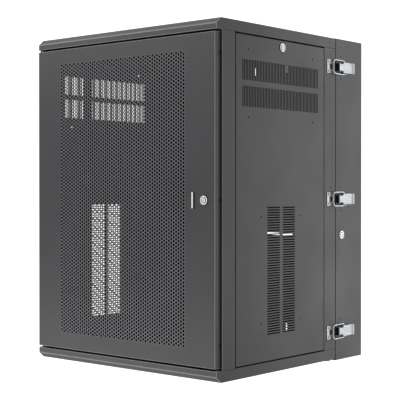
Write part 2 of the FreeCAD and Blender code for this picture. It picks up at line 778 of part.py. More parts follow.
def wall_strike():
    """Hook on the body's rear post that the wall section's cam holds."""
    x1 = hw - 21.5
    z0, z1 = notch_z0 + 3, notch_z1 - 6
    arm = box(x1 - 2, x1, rear - 17, 545.0, z0, z1)
    bend = box(x1 - 2, x1 + 5, 541.8, 543.8, z0, z1)
    return join([arm, bend])


# ---- write every node ----------------------------------------------------
save("top_cap", join([top_cap(), door_spacer()]))
bottom = top_cap()
save("bottom_cap", flip_z(bottom))
save("cable_covers", [cable_cover(), flip_z(cable_cover())])
save("cable_brushes", cable_brush() + [flip_z(b) for b in cable_brush()])
save("door_bushings", bushings())

post = front_post()
save("front_post_right", post)
save("front_post_left", [flip_x(s) for s in post])
save("rear_post_right", rear_post(True))
save("rear_post_left", flip_x(rear_post(False)))
brace = side_brace()
save("side_brace_top_right", brace)
save("side_brace_bottom_right", [flip_z(s) for s in brace])
save("side_brace_top_left", [flip_x(s) for s in brace])
save("side_brace_bottom_left", [flip_x(flip_z(s)) for s in brace])
for label, is_front in (("front", True), ("rear", False)):
    r = rail(is_front)
    save("rack_rail_" + label + "_right", r)
    save("rack_rail_" + label + "_left", flip_x(r))
save("rail_bolts", rail_bolts())
save("door_bumpers", bumpers())
save("door_strike", door_strike())
save("wall_strike", wall_strike())

panel = side_panel()
save("right_panel", panel)
save("left_panel", flip_x(panel))
housing = lock_housing(15.0, panel_sheet)
save("right_lock_housing", [put_lock(s, hw, side_lock_d, side_lock_z, "right", 0)
                            for s in housing])
save("left_lock_housing", [put_lock(s, -hw, side_lock_d, side_lock_z, "left", 0)
                           for s in housing])
for label, x in (("right", hw), ("left", -hw)):
    plug = put_lock(lock_plug(side_cam_at, 90), x, side_lock_d, side_lock_z, label, 0)
    cam = put_lock(lock_cam(side_cam_at, 17.0), x, side_lock_d, side_lock_z, label, 0)
    save(label + "_lock_cylinder", [plug, cam])

save("door_skin", door_skin())
save("door_stiffeners", [door_stiffener(-250.0), door_stiffener(248.0)])
save("door_hinge_pins", door_pins())
save("door_gasket", door_gasket())
save("door_badge", box(badge_x - 4.5, badge_x + 4.5, -1.2, 0, -20, 20))
door_housing = lock_housing(19.0, door_sheet)
save("door_lock_housing", [put_lock(s, door_lock_x, 0, 0, "front", 0) for s in door_housing])
save("door_lock_plug", put_lock(lock_plug(door_cam_at, -40), door_lock_x, 0, 0, "front", 0))
save("door_lock_cam", put_lock(lock_cam(door_cam_at, 27.0), door_lock_x, 0, 0, "front", 180))

save("wall_hinge_leaves", [hinge_leaf(z, True) for z in hinge_heights])
save("body_hinge_leaves", [hinge_leaf(z, False) for z in hinge_heights])
save("body_hinge_pins", hinge_pins())

save("latch_keepers", [keeper(z) for z in latch_heights])
body_rivets = [r for z in latch_heights for r in keeper_rivets(z)] + hinge_rivets(False)
save("body_rivets", body_rivets)
wall_rivets = [r for z in latch_heights for r in base_rivets(z)] + hinge_rivets(True)
save("wall_rivets", wall_rivets)
save("latch_bases", [latch_base(z) for z in latch_heights])
save("latch_pads", [latch_pad(z) for z in latch_heights])
save("latch_pivot_pins", [latch_pin(z) for z in latch_heights])
for label, z in zip(("top", "middle", "bottom"), latch_heights):
    save("latch_lever_" + label, latch_lever(z))
    save("latch_bail_" + label, latch_bail(z))

save("wall_pan", wall_pan())
save("support_tongue", support_tongue())
save("wall_channels", [wall_channel(1), wall_channel(-1)])
save("entry_plates", [entry_plate(True), entry_plate(False)])
save("entry_brush", entry_brush())
save("seam_gasket", seam_gasket())
save("ground_stud", ground_stud())
wall_housing = lock_housing(16.0, wall_sheet)
save("wall_lock_housing", [put_lock(s, hw, wall_lock_d, wall_lock_z, "right", 0)
                           for s in wall_housing])
save("wall_lock_plug", put_lock(lock_plug(wall_cam_at, 0), hw, wall_lock_d, wall_lock_z,
                                "right", 0))
save("wall_lock_cam", put_lock(lock_cam(wall_cam_at, 24.0), hw, wall_lock_d, wall_lock_z,
                               "right", 180))
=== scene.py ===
# %% [markdown]
# # A wall mount network cabinet
# The cabinet is folded sheet steel with a satin powder coat. A fixed section
# bolts to the wall, and the main body swings away from it on hinges at the
# left, held shut by three draw latches at the right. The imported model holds
# every part and every moving body, so we load it first and build on top.

# %% Load the frame
import json
import math
import bmesh
import bpy
from mathutils import Matrix, Vector


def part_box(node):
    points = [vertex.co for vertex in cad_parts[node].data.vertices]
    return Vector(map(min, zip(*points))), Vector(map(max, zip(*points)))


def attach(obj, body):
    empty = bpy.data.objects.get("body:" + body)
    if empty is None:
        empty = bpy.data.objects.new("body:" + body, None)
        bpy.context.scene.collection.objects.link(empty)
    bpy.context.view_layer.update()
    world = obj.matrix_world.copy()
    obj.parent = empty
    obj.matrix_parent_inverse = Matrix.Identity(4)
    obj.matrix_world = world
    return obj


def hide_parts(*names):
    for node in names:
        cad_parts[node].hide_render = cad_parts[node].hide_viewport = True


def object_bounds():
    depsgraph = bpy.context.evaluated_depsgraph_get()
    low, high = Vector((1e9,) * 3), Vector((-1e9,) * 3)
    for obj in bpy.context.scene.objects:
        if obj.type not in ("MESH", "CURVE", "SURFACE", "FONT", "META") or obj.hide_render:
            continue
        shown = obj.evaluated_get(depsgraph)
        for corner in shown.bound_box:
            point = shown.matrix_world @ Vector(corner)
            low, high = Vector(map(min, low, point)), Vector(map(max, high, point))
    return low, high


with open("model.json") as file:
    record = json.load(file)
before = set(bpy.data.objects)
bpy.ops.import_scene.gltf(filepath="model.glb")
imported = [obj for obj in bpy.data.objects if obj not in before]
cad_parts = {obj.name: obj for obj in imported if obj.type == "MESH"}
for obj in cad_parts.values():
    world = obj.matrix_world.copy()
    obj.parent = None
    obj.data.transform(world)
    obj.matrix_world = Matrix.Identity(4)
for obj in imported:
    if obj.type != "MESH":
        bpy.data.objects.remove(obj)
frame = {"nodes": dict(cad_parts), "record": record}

cad_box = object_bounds()
nodes = frame["nodes"]
MM = 0.001              # everything in Blender is in metres

# %% [markdown]
# ## Colour
# Colours are easiest to pick as hex codes, as in any paint program, but
# Blender's shaders want linear light. We could type linear numbers by hand,
# but nobody can read those, so one function converts the hex code.

# %% Hex colours
def colour(code):
    """Hex colour to linear RGBA."""
    values = [int(code[i:i + 2], 16) / 255 for i in (1, 3, 5)]
    return tuple(v / 12.92 if v <= 0.04045 else ((v + 0.055) / 1.055) ** 2.4
                 for v in values) + (1.0,)


print("middle grey is", round(colour("#808080")[0], 3), "in linear light")

# %% [markdown]
# ## Shader nodes
# A finish is a small tree of nodes: a pattern, a tint, a bump and a shader.
# Wiring each one takes four or five lines, which hides the idea. So one
# function adds a node with its settings and its links, and a material then
# reads like a recipe. Patterns are sized in millimetres: a noise texture's
# scale is how many of its blobs fit in a metre.

# %% Adding a node
def add(tree, kind, **inputs):
    """Adds a node. An input is a value, or a (node, output) pair to link.

    Sockets that share a name are told apart by number, as in_0 or in_6."""
    node = tree.nodes.new(kind)
    for key, value in inputs.items():
        name = key.replace("_", " ")
        if key.startswith("in_"):
            socket = node.inputs[int(key[3:])]
        elif name in node.inputs:
            socket = node.inputs[name]
        else:
            setattr(node, key, value)
            continue
        if isinstance(value, tuple) and isinstance(value[0], bpy.types.Node):
            tree.links.new(value[0].outputs[value[1]], socket)
        else:
            socket.default_value = value
    return node


def new_material(name):
    mat = bpy.data.materials.new(name)
    mat.use_nodes = True
    mat.node_tree.nodes.clear()
    return mat, mat.node_tree


def per_metre(size_mm):
    """Texture scale at which one blob of noise is this many millimetres wide."""
    return 1000.0 / size_mm


print("a 0.7 mm grain is a scale of", round(per_metre(0.7)))

# %% [markdown]
# ## Powder coat
# The sheet is steel, sprayed with dry polyester powder and baked until it
# flows into a plastic skin. Close up the skin has an orange-peel surface with
# grains under a millimetre wide, and at arm's length the gloss wanders a
# little where the coat is thicker. A noise texture at each of those sizes
# gives both: the fine one drives the bump, and the broad one shifts the
# colour and the roughness. Its IOR is 1.5, as for most plastics, and it isn't
# metallic. Satin powder has a roughness of about 0.4.
#
# The coat is the same stuff all over, but four places get another tone.
# The door is a touch darker than the body. A rounded fold gets a lighter and
# glossier tone: a painted highlight for the line of light that a fold catches.
# The webs between the door's holes get a lighter tone too: a painted highlight
# for the light that each hole's edge catches. Inside the cabinet and in cut
# slots little light gets in or out, so there the coat gets a painted shade that
# is nearly black and matte.

# %% Powder coat
grain_mm = 0.714        # one bump of orange peel
drift_mm = 166.7        # the slow change of tint and gloss over a panel
peel_depth = 0.2 * MM


def powder_coat(name, dark, light, rough):
    """Baked polyester powder: orange-peel bump, slightly uneven satin gloss."""
    mat, tree = new_material(name)
    place = add(tree, "ShaderNodeTexCoord")
    grain = add(tree, "ShaderNodeTexNoise", Vector=(place, "Object"),
                Scale=per_metre(grain_mm), Detail=3.0, Roughness=0.6)
    broad = add(tree, "ShaderNodeTexNoise", Vector=(place, "Object"),
                Scale=per_metre(drift_mm), Detail=3.0, Roughness=0.55)
    tint = add(tree, "ShaderNodeMix", data_type="RGBA", in_0=(broad, "Fac"),
               in_6=colour(dark), in_7=colour(light))
    gloss = add(tree, "ShaderNodeMapRange", Value=(broad, "Fac"), From_Min=0.3,
                From_Max=0.7, To_Min=rough - 0.04, To_Max=rough + 0.05)
    bump = add(tree, "ShaderNodeBump", Height=(grain, "Fac"), Strength=0.10,
               Distance=peel_depth)
    skin = add(tree, "ShaderNodeBsdfPrincipled", Base_Color=(tint, 2),
               Roughness=(gloss, "Result"), Normal=(bump, "Normal"), IOR=1.5)
    add(tree, "ShaderNodeOutputMaterial", Surface=(skin, 0))
    return mat


body_coat = powder_coat("polyester_powder_coat_body", "#47474a", "#4b4b4e", 0.38)
door_coat = powder_coat("polyester_powder_coat_door", "#454548", "#49494c", 0.38)
# painted highlight: the light tone of the rounded folds
fold_highlight_coat = powder_coat("polyester_powder_coat_painted_fold_highlight", "#96969a", "#a0a0a4", 0.24)
# painted highlight: the lighter tone of the webs between the door's holes
web_highlight_coat = powder_coat("polyester_powder_coat_painted_web_highlight", "#747478", "#7a7a7e", 0.34)
# painted shade: the nearly black coat inside the cabinet and in cut slots
inside_shade_coat = powder_coat("polyester_powder_coat_painted_inside_shade", "#080809", "#0b0b0c", 0.80)
print("five powder coats")

# %% [markdown]
# ## Plated metals
# Plating is a skin of real metal a few thousandths of a millimetre thick, so
# the shader is fully metallic and its colour is the metal's own. The latches
# are pressed from rolled sheet and zinc plated: pale, slightly blue, with
# faint rolling marks a few millimetres apart that the plating doesn't hide.
# Their bails are bent from drawn spring wire, and their plate is given a
# brighter tone than the sheet's: a painted highlight for the bright light
# along the wire.
# The lock faces are cast and nickel plated, a touch warmer. We could paint
# the marks as an image, but a noise that is stretched along the sheet gives
# the same streaks at any size.

# %% Plated metals
mark_mm = 3.333         # across the rolling marks
mark_depth = 0.1 * MM
along_the_sheet = (1.0, 0.12, 1.0)
all_ways = (1.0, 1.0, 1.0)


def plated_metal(name, tone, rough, stretch):
    """Electroplated metal with faint marks, drawn out where stretch is small."""
    mat, tree = new_material(name)
    place = add(tree, "ShaderNodeTexCoord")
    drawn = add(tree, "ShaderNodeMapping", Vector=(place, "Object"), Scale=stretch)
    marks = add(tree, "ShaderNodeTexNoise", Vector=(drawn, "Vector"),
                Scale=per_metre(mark_mm), Detail=4.0, Roughness=0.6)
    gloss = add(tree, "ShaderNodeMapRange", Value=(marks, "Fac"), From_Min=0.3,
                From_Max=0.7, To_Min=rough - 0.06, To_Max=rough + 0.08)
    bump = add(tree, "ShaderNodeBump", Height=(marks, "Fac"), Strength=0.08,
               Distance=mark_depth)
    skin = add(tree, "ShaderNodeBsdfPrincipled", Base_Color=colour(tone), Metallic=1.0,
               Roughness=(gloss, "Result"), Normal=(bump, "Normal"))
    add(tree, "ShaderNodeOutputMaterial", Surface=(skin, 0))
    return mat


zinc = plated_metal("zinc_plated_sheet_steel", "#aeb0b3", 0.34, along_the_sheet)
# painted highlight: the wire's plate is brighter than the sheet's
wire_with_painted_highlight = plated_metal("zinc_plated_wire_painted_highlight", "#f4f5f6", 0.45, all_ways)
nickel = plated_metal("nickel_plated_cast_zinc", "#fafaf8", 0.42, all_ways)
print("three plated metals")

# %% [markdown]
# ## Rubber, bristle and nylon
# These parts are moulded or spun and have no shine to speak of. EPDM rubber
# is a deep grey black with a soft roughness of about 0.75. Nylon bristle is
# matter still, because light is lost between the hairs. White moulded nylon
# has a faint gloss. Down a keyway and in the recess round a lock's plug almost
# no light comes back, so those faces get a painted shade that is nearly black.
# A small noise in the tint and the bump keeps all four from looking like flat
# paint.

# %% Moulded materials
def moulded(name, dark, light, rough, spot_mm, depth):
    """Matte plastic or rubber with a fine moulded texture."""
    mat, tree = new_material(name)
    place = add(tree, "ShaderNodeTexCoord")
    spots = add(tree, "ShaderNodeTexNoise", Vector=(place, "Object"),
                Scale=per_metre(spot_mm), Detail=3.0)
    tint = add(tree, "ShaderNodeMix", data_type="RGBA", in_0=(spots, "Fac"),
               in_6=colour(dark), in_7=colour(light))
    bump = add(tree, "ShaderNodeBump", Height=(spots, "Fac"), Strength=0.25,
               Distance=depth)
    skin = add(tree, "ShaderNodeBsdfPrincipled", Base_Color=(tint, 2), Roughness=rough,
               Normal=(bump, "Normal"))
    add(tree, "ShaderNodeOutputMaterial", Surface=(skin, 0))
    return mat


rubber = moulded("moulded_epdm_rubber", "#0c0c0c", "#141414", 0.75, 1.5, 0.2 * MM)
bristle = moulded("spun_nylon_bristle", "#101010", "#1c1c1c", 0.85, 0.4, 0.4 * MM)
nylon = moulded("moulded_white_nylon", "#dcdcd8", "#e8e8e4", 0.45, 2.0, 0.1 * MM)
# painted shade: nearly black, for the keyway and the recess round the plug
keyway_shade = moulded("keyway_painted_shade", "#0a0a0a", "#0c0c0c", 0.9, 2.0,
                       0.1 * MM)
print("four matte materials")

# %% [markdown]
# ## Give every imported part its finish
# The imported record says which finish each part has. We could leave the parts
# that are modelled anew below without one, but every part gets its own here,
# so that nothing is ever grey by accident.

# %% Finish every part
finish_of = {"body_paint": body_coat, "door_paint": door_coat, "zinc": zinc,
             "nickel": nickel, "rubber": rubber, "bristle": bristle, "nylon": nylon,
             "badge": zinc}
slot_with = {}
for part in frame["record"]["subparts"]:
    slot_with[part["node"]] = part["material_slot"]
    packed = nodes[part["node"]].data
    packed.materials.clear()
    packed.materials.append(finish_of[part["material_slot"]])
print("finished", len(slot_with), "parts")

# %% [markdown]
# ## Starting a piece
# Every new piece starts as a primitive at its real size and place. Operators
# act on whatever is selected, so a piece is added with nothing else selected.
# Its object stays at the origin, and its mesh holds its place: a pattern then
# stays put on it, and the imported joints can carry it.

# %% Starting a piece
def use(obj):
    """Makes this object the only selected one, and the active one."""
    bpy.ops.object.select_all(action="DESELECT")
    obj.select_set(True)
    bpy.context.view_layer.objects.active = obj


def start(kind, name, **settings):
    bpy.ops.object.select_all(action="DESELECT")
    getattr(bpy.ops.mesh, "primitive_" + kind + "_add")(**settings)
    obj = bpy.context.object
    obj.name = obj.data.name = name
    bpy.ops.object.transform_apply(location=True, rotation=True, scale=True)
    return obj


def block(name, corner_a, corner_b):
    """A box between two opposite corners, the lower one first."""
    middle = (Vector(corner_a) + Vector(corner_b)) / 2
    return start("cube", name, size=1, location=middle,
                 scale=Vector(corner_b) - Vector(corner_a))


print("ready to add pieces")

# %% [markdown]
# ## Moving, copying and joining
# What repeats is modelled once and copied. We could let the copies share one
# mesh, which is lighter. But a piece is moved here by changing its mesh and
# never its object, so each copy gets a mesh of its own.

# %% Moving, copying and joining
def move(obj, offset):
    """Moves the mesh, so that the object itself stays at the origin."""
    obj.data.transform(Matrix.Translation(offset))


def copy_of(obj, offset=(0, 0, 0)):
    """A copy with a mesh of its own."""
    twin = obj.copy()
    twin.data = obj.data.copy()
    bpy.context.scene.collection.objects.link(twin)
    move(twin, Vector(offset))
    return twin


def join_all(parts, name):
    bpy.ops.object.select_all(action="DESELECT")
    for part in parts:
        part.select_set(True)
    bpy.context.view_layer.objects.active = parts[0]
    if len(parts) > 1:
        bpy.ops.object.join()
    obj = bpy.context.object
    obj.name = obj.data.name = name
    return obj


print("ready to copy and join")

# %% [markdown]
# ## Picking faces and edges
# By hand we would click a face. In code we say where it is and which way it
# looks, which still works when a size changes. A pick leaves us in edit mode,
# ready for the next operator, and done() goes back to object mode.

# %% Picking
def pick(obj, kind, test):
    """Edit mode on obj, with only the faces or edges selected that pass.

    A face is tested by its middle and normal, an edge by its middle and
    direction, both in metres."""
    use(obj)
    bpy.ops.object.mode_set(mode="EDIT")
    bpy.ops.mesh.select_mode(type=kind)
    bpy.ops.mesh.select_all(action="DESELECT")
    mesh = bmesh.from_edit_mesh(obj.data)
    for item in (mesh.faces if kind == "FACE" else mesh.edges):
        if kind == "FACE":
            chosen = test(item.calc_center_median(), item.normal)
        else:
            a, b = (v.co for v in item.verts)
            chosen = test((a + b) / 2, (b - a).normalized())
        if chosen:
            item.select_set(True)
    mesh.select_flush_mode()
    bmesh.update_edit_mesh(obj.data)


def pick_everything(obj):
    use(obj)
    bpy.ops.object.mode_set(mode="EDIT")
    bpy.ops.mesh.select_all(action="SELECT")


def done():
    bpy.ops.object.mode_set(mode="OBJECT")


print("ready to pick faces and edges")

# %% [markdown]
# Three jobs come up again and again: picked faces get another finish, picked
# faces are deleted, and the mesh is cut along a plane, so that a face ends
# where we want it to. Bisect does the last one, and unlike a boolean it takes
# nothing away.

# %% Finish, delete and slice
def finish_faces(obj, slot, test):
    """Gives the faces that pass the test the finish in this slot."""
    pick(obj, "FACE", test)
    obj.active_material_index = slot
    bpy.ops.object.material_slot_assign()
    done()


def delete_faces(obj, test, what="FACE"):
    pick(obj, "FACE", test)
    bpy.ops.mesh.delete(type=what)
    done()


def slice_at(obj, axis, *places):
    """Cuts the whole mesh along planes square to an axis."""
    pick_everything(obj)
    for place in places:
        point, normal = [0, 0, 0], [0, 0, 0]
        point[axis], normal[axis] = place, 1
        bpy.ops.mesh.select_all(action="SELECT")
        bpy.ops.mesh.bisect(plane_co=point, plane_no=normal)
    done()


print("ready to finish, delete and slice")

# %% [markdown]
# ## Modifiers and normals
# A modifier that is applied leaves plain mesh, which exports the same way
# everywhere. Operators that build or mirror a surface can leave it inside
# out, so one helper recalculates the normals and then checks one face whose
# right direction we know.

# %% Modifiers and normals
def modify(obj, kind, **settings):
    """Adds a modifier with these settings and applies it."""
    use(obj)
    mod = obj.modifiers.new(kind.lower(), kind)
    for key, value in settings.items():
        setattr(mod, key, value)
    bpy.ops.object.modifier_apply(modifier=mod.name)


def repeat(obj, count, step, **more):
    """Copies of the mesh in a row, step apart."""
    modify(obj, "ARRAY", count=count, use_relative_offset=False,
           use_constant_offset=True, constant_offset_displace=step, **more)


def cut_away(obj, tool):
    modify(obj, "BOOLEAN", operation="DIFFERENCE", solver="EXACT", object=tool)
    bpy.data.objects.remove(tool, do_unlink=True)


def face_outwards(obj, test, right_way):
    """Recalculates normals, then flips all if the tested face looks inwards."""
    pick_everything(obj)
    bpy.ops.mesh.normals_make_consistent(inside=False)
    done()
    face = next(f for f in obj.data.polygons if test(f.center))
    if not right_way(face.normal):
        pick_everything(obj)
        bpy.ops.mesh.flip_normals()
        done()


print("ready to modify")

# %% [markdown]
# ## Handing a piece over
# A finished piece gets its finish and smooth shading with sharp creases. The
# imported nodes it stands for are hidden, and it is hung on the body that
# carries it when a joint moves.

# %% Handing a piece over
body_with = {}
for body, names in frame["record"]["behaviour"]["bodies"].items():
    for name in names:
        body_with[name] = body
heavy = 60000           # faces past which the normals stay as they are


def hand_over(obj, *replaced, crease=35.0):
    use(obj)
    bpy.ops.object.shade_smooth_by_angle(angle=math.radians(crease))
    if len(obj.data.polygons) < heavy:
        modify(obj, "WEIGHTED_NORMAL", keep_sharp=True, weight=100)
    first = replaced[0]
    if not obj.data.materials:
        obj.data.materials.append(finish_of[slot_with[first]])
    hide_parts(*replaced)
    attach(obj, body_with[first])
    return obj


# %% [markdown]
# ## Copies of the imported sheet parts
# The imported sheet parts are exact but razor sharp. A real fold has a radius
# of about the sheet's thickness, and that small round is what catches a line
# of light. We could model every sheet again, but the imported shapes are right,
# so each is copied and its loose triangles are merged. A bevel then rounds
# what is sharper than 30 degrees, and outside it also gives the round a
# lighter tone: a painted highlight for that line of light.

# %% Soft copies
weld = 0.002 * MM       # packed triangles closer than this share a corner
# slot 1 holds the painted inside shade, slot 2 the painted fold highlight
shade_slot, highlight_slot = 1, 2     # slot 0 is the outside finish


def soft_copy(node, outside=False, tidy=True):
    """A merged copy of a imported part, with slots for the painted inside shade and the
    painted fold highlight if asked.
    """
    obj = copy_of(nodes[node])
    obj.name = obj.data.name = node + "_soft"
    obj.data.materials.clear()
    obj.data.materials.append(finish_of[slot_with[node]])
    if outside:
        obj.data.materials.append(inside_shade_coat)
        obj.data.materials.append(fold_highlight_coat)
    pick_everything(obj)
    bpy.ops.mesh.remove_doubles(threshold=weld)
    if tidy:
        bpy.ops.mesh.dissolve_limited(angle_limit=math.radians(0.5))
    done()
    return obj


def soften(obj, round_mm, slot=-1):
    modify(obj, "BEVEL", width=round_mm * MM, segments=2, limit_method="ANGLE",
           angle_limit=math.radians(30), use_clamp_overlap=False,
           miter_outer="MITER_ARC", harden_normals=False, material=slot)


print("ready to copy packed parts")

# %% [markdown]
# ## Where the light doesn't reach
# Little light gets into the cabinet, into cut slots and onto the rims that
# face a seam. Those faces get a painted shade that is nearly black. They are
# picked by rule and not one by one: a face that looks towards the middle of
# the cabinet is an inside face, and a rim lies within a couple of millimetres
# of its seam.

# %% Dark faces
door_low, door_high = (Vector(corner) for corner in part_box("door_skin"))
cabinet_high = Vector(cad_box[1])
door_front = door_low.y
half_wide = -door_low.x
half_tall = cabinet_high.z - 1.0 * MM       # the cable covers stand 1 mm proud
cabinet_middle = Vector((0, (door_front + cabinet_high.y) / 2, 0))
seam_reach = 2.3 * MM


def looks_inside(middle, normal):
    """True if a face looks towards the middle of the cabinet."""
    away = Vector(middle) - cabinet_middle
    axis = max(range(3), key=lambda k: abs(normal[k]))
    return abs(normal[axis]) > 0.7 and away[axis] * normal[axis] < -0.02


def darken_inside(obj):
    finish_faces(obj, shade_slot, looks_inside)


def darken_cut_edges(obj):
    """Painted shade on slot walls, returns and the rim of a side panel."""
    finish_faces(obj, shade_slot, lambda c, n: abs(n.x) < 0.99)


def darken_seam(obj, place):
    """Painted shade on the rim beside the upright seam at this depth."""
    finish_faces(obj, shade_slot, lambda c, n: abs(c.y - place) < seam_reach)


print("cabinet", round(2 * half_wide / MM), "mm wide")

# %% [markdown]
# ## The caps, rear posts, side panels and wall section
# These are the big folded sheets that one sees from outside. A cap's nose is
# folded twice, so its long folds get a wider round of their own. A pierced
# sheet has hundreds of slot corners, which would make a bevel heavy, so only
# the rim of its big outside face is rounded.

# %% Which folds are rounded
near = 0.05 * MM
nose_deep = 16.0 * MM   # from the door's front to where the nose meets the lid
panel_foot = 8 * MM     # the panel's tongues reach this far below its face


def on_nose_fold(middle, direction):
    """The long folds of a cap's nose and the corners where its ends close."""
    if abs(direction.x) < 0.01:
        return (abs(abs(middle.x) - half_wide) < near and
                middle.y < door_front + nose_deep + 2 * near)
    if abs(direction.x) < 0.99:
        return False
    at_front = middle.y < door_front + 2 * near
    at_lid = (abs(middle.y - door_front - nose_deep) < 2 * near and
              abs(middle.z) > half_tall - 2 * near)
    return at_front or at_lid


def on_outer_fold(middle, rim):
    """The rim of a pierced sheet's big outside face, as (axis, place) pairs."""
    return (abs(abs(middle.x) - half_wide) < near and
            any(abs(getattr(middle, k) - limit) < near for k, limit in rim))


def round_folds(obj, test, radius, segments):
    pick(obj, "EDGE", test)
    bpy.ops.mesh.bevel(offset=radius, segments=segments, affect="EDGES",
                       material=highlight_slot)
    done()


print("nose", nose_deep / MM, "mm deep")

# %% [markdown]
# Now every outside sheet goes through the same steps: copy, round the folds,
# darken what lies in shade, and hand over.

# %% Outside sheets
wall_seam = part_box("wall_pan")[0][1]
outside_nodes = ("top_cap", "bottom_cap", "rear_post_right", "rear_post_left",
                 "right_panel", "left_panel", "wall_pan")
pierced = ("right_panel", "left_panel", "wall_pan")
for node in outside_nodes:
    sheet_part = soft_copy(node, outside=True, tidy=node not in pierced)
    if node.endswith("cap"):
        round_folds(sheet_part, on_nose_fold, 1.8 * MM, 4)
    if node in pierced:
        a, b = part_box(node)
        foot = panel_foot if node.endswith("panel") else 0
        rim = (("y", a[1]), ("y", b[1]), ("z", a[2] + foot), ("z", b[2]))
        round_folds(sheet_part, lambda c, d: on_outer_fold(c, rim), 1.0 * MM, 3)
    else:
        soften(sheet_part, 0.6, slot=highlight_slot)
    darken_inside(sheet_part)
    if node.endswith("panel"):
        darken_cut_edges(sheet_part)
    if node == "wall_pan" or node.startswith("rear_post"):
        darken_seam(sheet_part, wall_seam)
    hand_over(sheet_part, node)
print("softened", len(outside_nodes), "outside sheets")

# %% [markdown]
# ## Rails, braces and other sheets inside
# These are hardly seen, so they only get a small round and the nearly black painted inside
# shade.
# The rails are pierced all the way up, and the braces are several sheets
# that touch, which merging would weld together. So the rails aren't
# rounded, and the braces keep their imported meshes.

# %% Inside sheets
inside_nodes = ("rack_rail_front_right", "rack_rail_front_left",
                "rack_rail_rear_right", "rack_rail_rear_left", "wall_channels",
                "entry_plates", "cable_covers", "door_stiffeners", "support_tongue",
                "door_strike", "wall_strike")
brace_nodes = ("side_brace_top_right", "side_brace_bottom_right",
               "side_brace_top_left", "side_brace_bottom_left")
for node in inside_nodes:
    is_rail = node.startswith("rack_rail")
    inside_part = soft_copy(node, tidy=not is_rail)
    # painted shade: the inside sheets get the nearly black coat
    inside_part.data.materials[0] = inside_shade_coat
    if not is_rail:
        soften(inside_part, 0.4)
    hand_over(inside_part, node)
for node in brace_nodes:
    # painted shade on the braces too
    nodes[node].data.materials[0] = inside_shade_coat
print("softened", len(inside_nodes), "inside sheets")

# %% [markdown]
# ## The front posts
# Each post is one strip of sheet folded into a channel. A block gives its two
# outside faces; the other four are deleted, and the remaining edges are
# extruded one after the other, as a folding press would bend them: an inner
# flange with a window for the door's cam, a return behind the side panel and
# the lip that the panel rests on. Solidify then gives the sheet its thickness.
# The left post is the same piece mirrored, with its normals put right.

# %% One bend
sheet = 1.5 * MM
same_place = 0.02 * MM  # two places closer than this are the same
flange_deep = 18 * MM
return_wide = 12.7 * MM
lip_deep, lip_end = 14 * MM, 397.5 * MM
window, flange_end = 26 * MM, 375 * MM
under_cap = 27.3 * MM   # how far the post's side stops below the cap's top


def fold_out(obj, test, offset):
    """Extrudes the open edges that pass the test: one more bend of the sheet."""
    pick(obj, "EDGE", test)
    bpy.ops.mesh.extrude_edges_move(TRANSFORM_OT_translate={"value": offset})
    done()


print("sheet", sheet / MM, "mm thick")

# %% [markdown]
# The two long outside folds are rounded while the post is still a thin skin,
# so that Solidify gives the inside of each fold its own round too. The front
# face alone is then drawn on to the full height, because the side stops
# short of the cap.

# %% Front posts
def front_post():
    a, b = (Vector(corner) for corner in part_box("front_post_right"))
    end = half_tall - under_cap
    fold = b.y - lip_deep
    post = block("front_post", (a.x, a.y, -end), (b.x, fold, end))
    # slot 1 is the painted inside shade, slot 2 the painted fold highlight on the rounded
    # folds
    for finish in (body_coat, inside_shade_coat, fold_highlight_coat):
        post.data.materials.append(finish)
    delete_faces(post, lambda c, n: n.x < 0.9 and n.y > -0.9)
    fold_out(post, lambda c, d: c.x < a.x + same_place, (0, flange_deep, 0))
    fold_out(post, lambda c, d: c.y > fold - same_place, (-return_wide, 0, 0))
    slice_at(post, 2, -lip_end, lip_end)
    fold_out(post, lambda c, d: abs(c.x - b.x + return_wide) < same_place and
             abs(d.z) > 0.9 and abs(c.z) < lip_end, (0, lip_deep, 0))
    slice_at(post, 2, -flange_end, -window, window, flange_end)
    delete_faces(post, lambda c, n: c.x < a.x + same_place and
                 (abs(c.z) < window or abs(c.z) > flange_end))
    round_folds(post, lambda c, d: c.x > b.x - same_place and
                c.y < a.y + same_place, 1.2 * MM, 3)
    round_folds(post, lambda c, d: c.x > b.x - same_place and
                c.y > fold - same_place, 1.0 * MM, 3)
    for side in (1, -1):
        fold_out(post, lambda c, d: c.y < a.y + same_place and abs(d.x) > 0.9 and
                 c.z * side > end - same_place, (0, 0, side * (b.z - end)))
    face_outwards(post, lambda c: c.y < a.y + same_place, lambda n: n.y < 0)
    modify(post, "SOLIDIFY", thickness=sheet, offset=-1.0, use_even_offset=True)
    darken_inside(post)
    return post


right_post = front_post()
left_post = copy_of(right_post)
left_post.data.transform(Matrix.Scale(-1, 4, (1, 0, 0)))
left_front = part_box("front_post_left")[0][1]
face_outwards(left_post, lambda c: c.y < left_front + same_place, lambda n: n.y < 0)
hand_over(right_post, "front_post_right")
hand_over(left_post, "front_post_left")
print("front post", len(right_post.data.polygons), "faces")

# %% [markdown]
# ## The door: a folded pan
# The door is one sheet folded back along all four sides. We start from a
# block, open its back, round the front edges, then cut the front face along
# four lines with bisect so that the field of holes has its own window. The
# back edges are extruded inwards for the return lip, and Solidify gives the
# sheet its thickness.

# %% The door pan
hole_r, step_x, step_z = 3.55 * MM, 7.93 * MM, 9.08 * MM
columns, rows = 56, 79
hinge_margin, top_margin = 94 * MM, 76.6 * MM
field_x0 = door_low.x + hinge_margin - step_x / 2
field_x1 = field_x0 + columns * step_x
field_z1 = half_tall - top_margin + step_z / 2
field_z0 = field_z1 - (rows + 0.5) * step_z
pan_deep, lip_wide, lock_bore_r = 17.5 * MM, 12 * MM, 9.6 * MM


